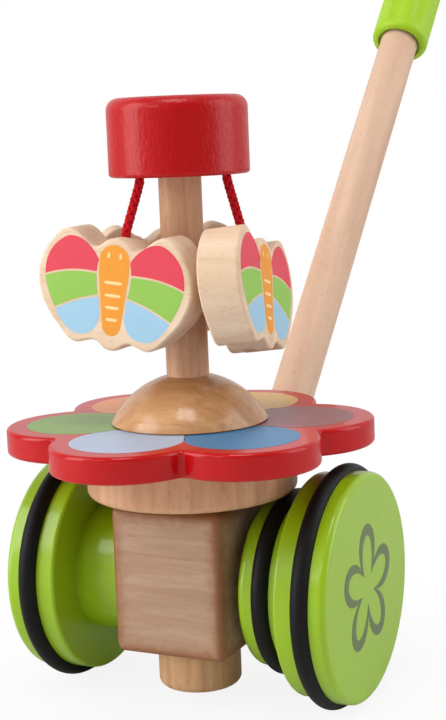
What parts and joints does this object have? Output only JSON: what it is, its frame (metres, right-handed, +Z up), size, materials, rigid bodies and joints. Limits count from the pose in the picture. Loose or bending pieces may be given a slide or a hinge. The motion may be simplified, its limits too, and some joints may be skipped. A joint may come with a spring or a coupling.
{
  "type": "push-along carousel toy",
  "caption": "Wooden push-along toy: a wheeled axle block on a long handle drives a flower turntable with a capped post and butterflies hanging on cords.",
  "frame": {"origin": "on the floor, straight under the upright spindle's axis", "axes": "+X along the axle towards the wheel beside the friction drive, +Y back towards the pusher along the handle's lean, +Z up along the spindle"},
  "size_m": [0.1434, 0.4242, 0.3621],
  "materials": {
    "beech": "natural oiled beech, satin",
    "maple_dark": "natural turned hardwood, semi-gloss lacquer",
    "stick_wood": "pale natural beech dowel, satin",
    "board_wood": "pale natural board, satin, printed faces",
    "green_paint": "green painted wood, satin",
    "red_paint": "red painted wood, gloss",
    "grip_plastic": "lime moulded plastic, matt",
    "tyre_rubber": "black rubber ring, matt",
    "red_cord": "red braided cord",
    "hidden_wood": "plain hardwood dowel"
  },
  "bodies": {
    "chassis": {"axle_block": "beech", "thrust_washer": "hidden_wood", "handle_stick": "stick_wood", "handle_grip": "grip_plastic"},
    "wheelset": {"axle": "hidden_wood", "left_hub": "green_paint", "friction_wheel": "green_paint", "friction_ring": "tyre_rubber", "left_wheel": "green_paint", "left_tyre": "tyre_rubber", "right_wheel": "green_paint", "right_tyre": "tyre_rubber"},
    "spinner": {"spindle_pin": "hidden_wood", "bottom_knob": "beech", "turntable_disc": "beech", "flower_disc": "red_paint", "dome_collar": "maple_dark", "centre_post": "beech", "top_cap": "red_paint", "cord_anchor_1": "red_cord", "cord_anchor_2": "red_cord", "cord_anchor_3": "red_cord"},
    "hanging_cord_1": {"cord_1": "red_cord"},
    "hanging_butterfly_1": {"butterfly_1": "board_wood", "cord_tail_1": "red_cord"},
    "hanging_cord_2": {"cord_2": "red_cord"},
    "hanging_butterfly_2": {"butterfly_2": "board_wood", "cord_tail_2": "red_cord"},
    "hanging_cord_3": {"cord_3": "red_cord"},
    "hanging_butterfly_3": {"butterfly_3": "board_wood", "cord_tail_3": "red_cord"}
  },
  "joints": [
    {"name": "wheel_spin", "type": "hinge", "parent": "chassis", "child": "wheelset", "pos_m": [0, 0.0118, 0.05], "axis": [1, 0, 0], "continuous": true},
    {"name": "carousel_spin", "type": "hinge", "parent": "chassis", "child": "spinner", "pos_m": [0, 0, 0.0886], "axis": [0, 0, 1], "continuous": true},
    {"name": "cord_swing_1", "type": "hinge", "parent": "spinner", "child": "hanging_cord_1", "pos_m": [-0.00821, -0.01835, 0.2162], "axis": [-0.9128, 0.4083, 0], "range_deg": [0, 50]},
    {"name": "butterfly_tilt_1", "type": "hinge", "parent": "hanging_cord_1", "child": "hanging_butterfly_1", "pos_m": [-0.01317, -0.02228, 0.19709], "axis": [-0.9994, -0.0349, 0], "range_deg": [0, 25]},
    {"name": "cord_swing_2", "type": "hinge", "parent": "spinner", "child": "hanging_cord_2", "pos_m": [0.01999, 0.00207, 0.2162], "axis": [0.1028, -0.9947, 0], "range_deg": [0, 50]},
    {"name": "butterfly_tilt_2", "type": "hinge", "parent": "hanging_cord_2", "child": "hanging_butterfly_2", "pos_m": [0.02515, 0.0049, 0.19324], "axis": [0.0958, -0.9954, 0], "range_deg": [0, 25]},
    {"name": "cord_swing_3", "type": "hinge", "parent": "spinner", "child": "hanging_cord_3", "pos_m": [-0.01179, 0.01628, 0.2162], "axis": [0.81, 0.5864, 0], "range_deg": [0, 50]},
    {"name": "butterfly_tilt_3", "type": "hinge", "parent": "hanging_cord_3", "child": "hanging_butterfly_3", "pos_m": [-0.01807, 0.02006, 0.1969], "axis": [0.81, 0.5864, 0], "range_deg": [0, 25]}
  ],
  "couplings": [
    {"joint": "carousel_spin", "follows": "wheel_spin", "ratio": -0.96962}
  ]
}
